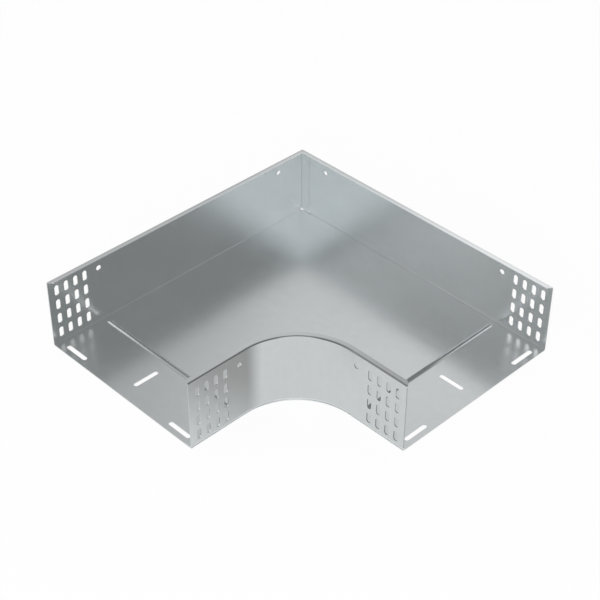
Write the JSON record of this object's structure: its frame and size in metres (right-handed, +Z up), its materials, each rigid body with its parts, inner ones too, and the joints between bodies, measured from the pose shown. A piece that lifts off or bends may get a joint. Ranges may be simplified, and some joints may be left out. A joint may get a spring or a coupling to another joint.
{
  "type": "cable tray bend, 90 degrees",
  "caption": "Galvanised sheet steel 90 degree bend for a 300 mm cable tray, with a square mitred outer corner and a round inner wall.",
  "frame": {"origin": "middle of the bounding box of the whole bend, on the underside of the floor", "axes": "+Z up out of the open top; the cables run in along -X at the opening that faces +X and run out along -Y at the opening that faces -Y, so the square outer corner is at -X, +Y"},
  "size_m": [0.503, 0.503, 0.115],
  "materials": {
    "galvanised_sheet": "galvanised, dull satin"
  },
  "bodies": {
    "root": {"tray_body": "galvanised_sheet", "inner_wall": "galvanised_sheet"}
  },
  "joints": []
}
